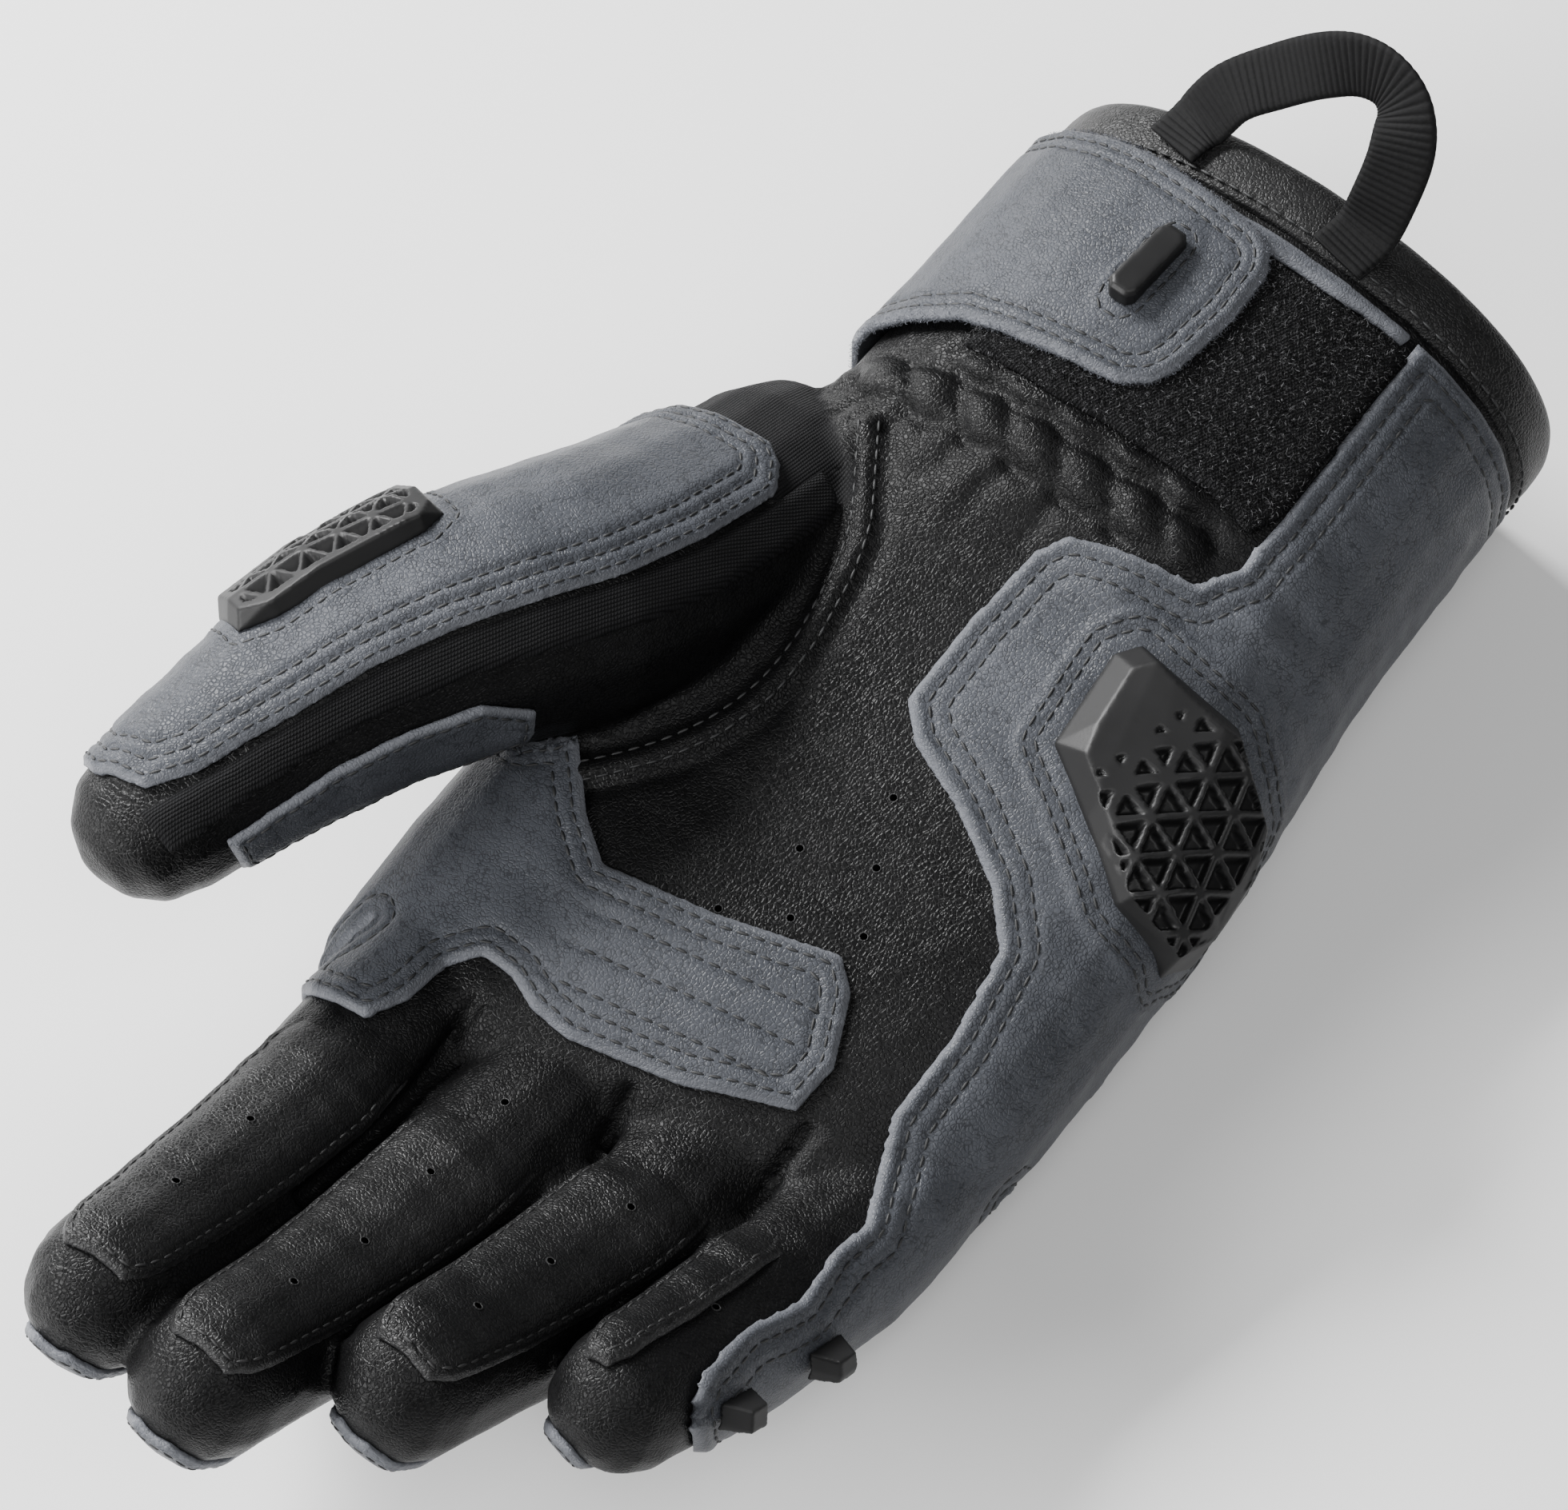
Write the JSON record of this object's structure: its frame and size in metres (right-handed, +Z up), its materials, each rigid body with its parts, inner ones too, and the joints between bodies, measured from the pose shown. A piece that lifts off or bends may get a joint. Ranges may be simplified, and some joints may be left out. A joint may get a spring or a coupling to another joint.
{
  "type": "motorcycle glove",
  "caption": "Right-hand short-cuff leather motorcycle glove lying palm up, with rubber sliders, a closing wrist strap and a webbing pull loop.",
  "frame": {"origin": "middle of the bottom of the box round the glove, on the surface that it lies on", "axes": "+Y towards the cuff, fingers to -Y, +Z up out of the palm, little finger at +X"},
  "size_m": [0.1426, 0.2726, 0.0823],
  "materials": {
    "black_leather": "grained, slight sheen",
    "gray_leather": "grained, slight sheen",
    "black_knit": "ribbed knit, matte",
    "pad_fleece": "looped pile, matte",
    "webbing": "ribbed webbing, matte",
    "rubber": "moulded, satin"
  },
  "bodies": {
    "root": {"palm_shell": "black_leather", "index_finger": "black_leather", "middle_finger": "black_leather", "ring_finger": "black_leather", "little_finger": "black_leather", "thumb": "black_leather", "side_panel": "gray_leather", "grip_patch": "gray_leather", "cuff_panel": "gray_leather", "loop_pad": "pad_fleece", "closure_strap": "gray_leather", "hand_back": "black_knit", "index_front": "black_leather", "index_back": "gray_leather", "middle_front": "black_leather", "middle_back": "gray_leather", "ring_front": "black_leather", "ring_back": "gray_leather", "little_front": "black_leather", "little_back": "gray_leather", "little_finger_stud_a": "rubber", "little_finger_stud_b": "rubber", "thumb_top": "gray_leather", "thumb_knit": "black_knit", "thumb_web_strip": "gray_leather", "thumb_guard": "rubber", "palm_slider": "rubber", "strap_button": "rubber", "cuff_binding": "black_leather", "pull_loop": "webbing"}
  },
  "joints": []
}
